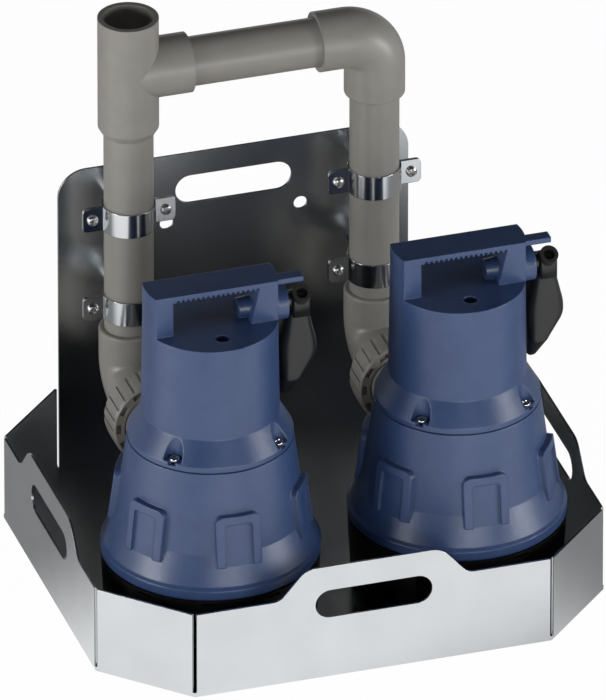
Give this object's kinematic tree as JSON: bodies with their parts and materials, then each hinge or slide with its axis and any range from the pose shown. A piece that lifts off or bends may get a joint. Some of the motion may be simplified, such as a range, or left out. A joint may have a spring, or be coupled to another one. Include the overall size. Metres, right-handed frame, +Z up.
{
  "type": "submersible pump set",
  "caption": "Submersible drainage pumps in a sheet-metal tray, joined by grey risers to one outlet tee.",
  "frame": {"origin": "under the middle of the tray, on the surface it stands on", "axes": "+Z up, +Y towards the back plate, +X to the right seen from the front"},
  "size_m": [0.423, 0.376, 0.436],
  "materials": {
    "sheet_steel": "satin",
    "pvc_grey": "satin",
    "zinc_steel": "polished",
    "stainless": "polished",
    "blue_plastic": "satin",
    "black_plastic": "satin",
    "charcoal_plastic": "satin",
    "rubber": "matte",
    "lamination_steel": "satin",
    "copper": "satin",
    "bearing_steel": "polished"
  },
  "bodies": {
    "root": {"base_tray": "sheet_steel", "back_plate": "sheet_steel", "cross_pipe": "pvc_grey", "outlet_tee": "pvc_grey", "top_elbow": "pvc_grey", "clamp_screws": "zinc_steel", "clamp_standoffs": "zinc_steel", "riser_pipe_left": "pvc_grey", "lower_elbow_left": "pvc_grey", "union_nut_left": "pvc_grey", "union_end_left": "pvc_grey", "clamp_front_left_upper": "zinc_steel", "clamp_front_left_lower": "zinc_steel", "clamp_rear_left_upper": "zinc_steel", "clamp_rear_left_lower": "zinc_steel", "strainer_foot_left": "black_plastic", "volute_casing_left": "blue_plastic", "motor_housing_left": "blue_plastic", "seam_gasket_left": "rubber", "case_screws_left": "stainless", "suction_cover_left": "black_plastic", "shaft_seal_left": "rubber", "stator_core_left": "lamination_steel", "stator_windings_left": "copper", "bearings_left": "bearing_steel", "check_valve_body_left": "pvc_grey", "float_pivot_left": "charcoal_plastic", "riser_pipe_right": "pvc_grey", "lower_elbow_right": "pvc_grey", "union_nut_right": "pvc_grey", "union_end_right": "pvc_grey", "clamp_front_right_upper": "zinc_steel", "clamp_front_right_lower": "zinc_steel", "clamp_rear_right_upper": "zinc_steel", "clamp_rear_right_lower": "zinc_steel", "strainer_foot_right": "black_plastic", "volute_casing_right": "blue_plastic", "motor_housing_right": "blue_plastic", "seam_gasket_right": "rubber", "case_screws_right": "stainless", "suction_cover_right": "black_plastic", "shaft_seal_right": "rubber", "stator_core_right": "lamination_steel", "stator_windings_right": "copper", "bearings_right": "bearing_steel", "check_valve_body_right": "pvc_grey", "float_pivot_right": "charcoal_plastic"},
    "rotor_left": {"motor_shaft_left": "stainless", "rotor_core_left": "lamination_steel", "impeller_left": "black_plastic"},
    "flap_left": {"valve_flap_left": "rubber"},
    "float_left": {"float_body_left": "charcoal_plastic", "float_cable_sleeve_left": "rubber"},
    "rotor_right": {"motor_shaft_right": "stainless", "rotor_core_right": "lamination_steel", "impeller_right": "black_plastic"},
    "flap_right": {"valve_flap_right": "rubber"},
    "float_right": {"float_body_right": "charcoal_plastic", "float_cable_sleeve_right": "rubber"}
  },
  "joints": [
    {"name": "rotor_spin_left", "type": "hinge", "parent": "root", "child": "rotor_left", "pos_m": [-0.1025, -0.082, 0.1], "axis": [0, 0, 1], "continuous": true},
    {"name": "float_swing_left", "type": "hinge", "parent": "root", "child": "float_left", "pos_m": [-0.0325, -0.084, 0.288], "axis": [1, 0, 0], "range_deg": [0, 75]},
    {"name": "flap_open_left", "type": "hinge", "parent": "root", "child": "flap_left", "pos_m": [-0.1025, 0.0327, 0.122], "axis": [1, 0, 0], "range_deg": [0, 60]},
    {"name": "rotor_spin_right", "type": "hinge", "parent": "root", "child": "rotor_right", "pos_m": [0.1025, -0.082, 0.1], "axis": [0, 0, 1], "continuous": true},
    {"name": "float_swing_right", "type": "hinge", "parent": "root", "child": "float_right", "pos_m": [0.1725, -0.084, 0.288], "axis": [1, 0, 0], "range_deg": [0, 75]},
    {"name": "flap_open_right", "type": "hinge", "parent": "root", "child": "flap_right", "pos_m": [0.1025, 0.0327, 0.122], "axis": [1, 0, 0], "range_deg": [0, 60]}
  ]
}
